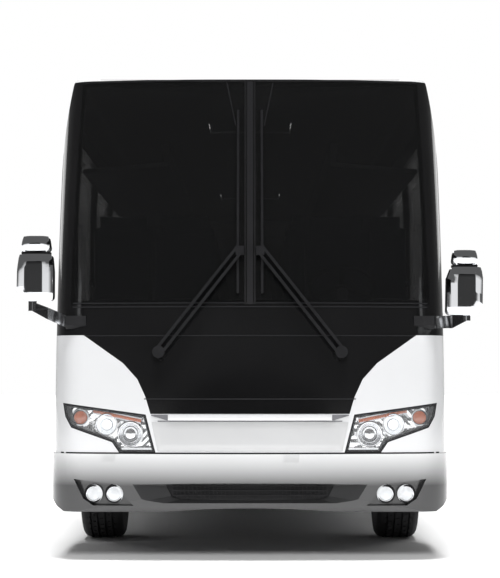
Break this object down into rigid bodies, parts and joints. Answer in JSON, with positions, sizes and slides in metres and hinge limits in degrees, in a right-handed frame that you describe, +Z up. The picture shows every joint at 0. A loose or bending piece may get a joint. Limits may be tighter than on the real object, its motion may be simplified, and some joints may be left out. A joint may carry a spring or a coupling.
{
  "type": "coach bus",
  "caption": "Highway coach with black front glass, chrome mirrors, opening doors, bays and lids, steered front wheels and spinning wheels on every axle.",
  "frame": {"origin": "on the ground at the centre of the overall box, mirrors included", "axes": "+X forward, +Y to the left of the coach, +Z up"},
  "size_m": [13.876, 2.9977, 3.395],
  "materials": {
    "white_paint": "gloss",
    "silver_paint": "gloss",
    "black_gloss": "gloss",
    "glass_dark": "clear",
    "glass_clear": "clear",
    "chrome": "mirror",
    "reflector": "mirror",
    "matte_black": "matte",
    "grey_plastic": "matte",
    "tyre": "matte",
    "alloy": "polished",
    "steel_dark": "satin",
    "cast": "rough",
    "red_lens": "gloss",
    "rubber": "matte",
    "seat_fabric": "woven",
    "floor_vinyl": "matte"
  },
  "bodies": {
    "coach": {"air_springs": "rubber", "arch_liners": "matte_black", "axles": "cast", "bulkheads": "grey_plastic", "cab_floor": "floor_vinyl", "dashboard": "grey_plastic", "engine": "cast", "fog_lamps": "glass_clear", "frame": "steel_dark", "front_bumper": "silver_paint", "front_mask": "black_gloss", "front_panel": "silver_paint", "headlamp_bowls": "reflector", "headlamp_covers": "glass_clear", "lamp_housings": "matte_black", "lower_sides": "silver_paint", "luggage_floor": "steel_dark", "mirror_bases": "matte_black", "mirror_left": "chrome", "mirror_right": "chrome", "parcel_racks": "grey_plastic", "passenger_floor": "floor_vinyl", "rear_cap": "white_paint", "roof": "white_paint", "seats": "seat_fabric", "side_glass": "glass_dark", "tail_lamps": "red_lens", "window_bands": "black_gloss", "windscreen": "glass_dark", "windscreen_frame": "black_gloss", "wipers": "matte_black"},
    "luggage_door_left_1": {"luggage_door_left_1": "silver_paint"},
    "luggage_door_left_2": {"luggage_door_left_2": "silver_paint"},
    "luggage_door_left_3": {"luggage_door_left_3": "silver_paint"},
    "service_door_left": {"service_door_left": "silver_paint"},
    "luggage_door_right_1": {"luggage_door_right_1": "silver_paint"},
    "luggage_door_right_2": {"luggage_door_right_2": "silver_paint"},
    "luggage_door_right_3": {"luggage_door_right_3": "silver_paint"},
    "service_door_right": {"service_door_right": "silver_paint"},
    "entrance_door": {"entrance_door": "black_gloss", "entrance_door_glass": "glass_dark"},
    "engine_lid": {"engine_lid": "silver_paint"},
    "roof_hatch_front": {"roof_hatch_front": "white_paint"},
    "roof_hatch_rear": {"roof_hatch_rear": "white_paint"},
    "knuckle_left": {"knuckle_left": "cast"},
    "knuckle_right": {"knuckle_right": "cast"},
    "tie_rod": {"tie_rod": "steel_dark"},
    "steering_wheel": {"steering_wheel": "matte_black"},
    "wheel_front_left": {"tyre_front_left": "tyre", "rim_front_left": "alloy"},
    "wheels_drive_left": {"tyres_drive_left": "tyre", "rims_drive_left": "alloy"},
    "wheel_tag_left": {"tyre_tag_left": "tyre", "rim_tag_left": "alloy"},
    "wheel_front_right": {"tyre_front_right": "tyre", "rim_front_right": "alloy"},
    "wheels_drive_right": {"tyres_drive_right": "tyre", "rims_drive_right": "alloy"},
    "wheel_tag_right": {"tyre_tag_right": "tyre", "rim_tag_right": "alloy"}
  },
  "joints": [
    {"name": "luggage_door_left_1_lift", "type": "hinge", "parent": "coach", "child": "luggage_door_left_1", "pos_m": [-1.33417, 1.295, 1.284], "axis": [1, 0, 0], "range_deg": [0, 90]},
    {"name": "luggage_door_left_2_lift", "type": "hinge", "parent": "coach", "child": "luggage_door_left_2", "pos_m": [0.8515, 1.295, 1.284], "axis": [1, 0, 0], "range_deg": [0, 90]},
    {"name": "luggage_door_left_3_lift", "type": "hinge", "parent": "coach", "child": "luggage_door_left_3", "pos_m": [3.03717, 1.295, 1.284], "axis": [1, 0, 0], "range_deg": [0, 90]},
    {"name": "service_door_left_swing", "type": "hinge", "parent": "coach", "child": "service_door_left", "pos_m": [-5.189, 1.295, 1.06], "axis": [0, 0, -1], "range_deg": [0, 100]},
    {"name": "luggage_door_right_1_lift", "type": "hinge", "parent": "coach", "child": "luggage_door_right_1", "pos_m": [-1.33417, -1.295, 1.284], "axis": [-1, 0, 0], "range_deg": [0, 90]},
    {"name": "luggage_door_right_2_lift", "type": "hinge", "parent": "coach", "child": "luggage_door_right_2", "pos_m": [0.8515, -1.295, 1.284], "axis": [-1, 0, 0], "range_deg": [0, 90]},
    {"name": "luggage_door_right_3_lift", "type": "hinge", "parent": "coach", "child": "luggage_door_right_3", "pos_m": [3.03717, -1.295, 1.284], "axis": [-1, 0, 0], "range_deg": [0, 90]},
    {"name": "service_door_right_swing", "type": "hinge", "parent": "coach", "child": "service_door_right", "pos_m": [-5.189, -1.295, 1.06], "axis": [0, 0, 1], "range_deg": [0, 100]},
    {"name": "entrance_door_swing", "type": "hinge", "parent": "coach", "child": "entrance_door", "pos_m": [6.347, -1.295, 1], "axis": [0, 0, 1], "range_deg": [0, 90]},
    {"name": "engine_lid_lift", "type": "hinge", "parent": "coach", "child": "engine_lid", "pos_m": [-6.933, 0, 1.554], "axis": [0, 1, 0], "range_deg": [0, 90]},
    {"name": "roof_hatch_front_lift", "type": "hinge", "parent": "coach", "child": "roof_hatch_front", "pos_m": [3.277, 0, 3.383], "axis": [0, 1, 0], "range_deg": [0, 60]},
    {"name": "roof_hatch_rear_lift", "type": "hinge", "parent": "coach", "child": "roof_hatch_rear", "pos_m": [-2.939, 0, 3.383], "axis": [0, 1, 0], "range_deg": [0, 60]},
    {"name": "steer_left", "type": "hinge", "parent": "coach", "child": "knuckle_left", "pos_m": [4.883, 0.88, 0.53], "axis": [0, 0, 1], "range_deg": [-38, 38]},
    {"name": "steer_right", "type": "hinge", "parent": "coach", "child": "knuckle_right", "pos_m": [4.883, -0.88, 0.53], "axis": [0, 0, 1], "range_deg": [-38, 38]},
    {"name": "tie_rod_swing", "type": "hinge", "parent": "knuckle_left", "child": "tie_rod", "pos_m": [4.663, 0.88, 0.4], "axis": [0, 0, 1], "range_deg": [-38, 38]},
    {"name": "steering_wheel_turn", "type": "hinge", "parent": "coach", "child": "steering_wheel", "pos_m": [5.923, 0.64, 1.82], "axis": [-0.5736, 0, 0.8192], "range_deg": [-684, 684]},
    {"name": "wheel_front_left_spin", "type": "hinge", "parent": "knuckle_left", "child": "wheel_front_left", "pos_m": [4.883, 1.08, 0.53], "axis": [0, 1, 0], "continuous": true},
    {"name": "wheels_drive_left_spin", "type": "hinge", "parent": "coach", "child": "wheels_drive_left", "pos_m": [-3.137, 1.08, 0.53], "axis": [0, 1, 0], "continuous": true},
    {"name": "wheel_tag_left_spin", "type": "hinge", "parent": "coach", "child": "wheel_tag_left", "pos_m": [-4.407, 1.08, 0.53], "axis": [0, 1, 0], "continuous": true},
    {"name": "wheel_front_right_spin", "type": "hinge", "parent": "knuckle_right", "child": "wheel_front_right", "pos_m": [4.883, -1.08, 0.53], "axis": [0, 1, 0], "continuous": true},
    {"name": "wheels_drive_right_spin", "type": "hinge", "parent": "coach", "child": "wheels_drive_right", "pos_m": [-3.137, -1.08, 0.53], "axis": [0, 1, 0], "continuous": true},
    {"name": "wheel_tag_right_spin", "type": "hinge", "parent": "coach", "child": "wheel_tag_right", "pos_m": [-4.407, -1.08, 0.53], "axis": [0, 1, 0], "continuous": true}
  ],
  "couplings": [
    {"joint": "steer_right", "follows": "steer_left", "ratio": 1},
    {"joint": "tie_rod_swing", "follows": "steer_left", "ratio": -1},
    {"joint": "steering_wheel_turn", "follows": "steer_left", "ratio": 18}
  ]
}
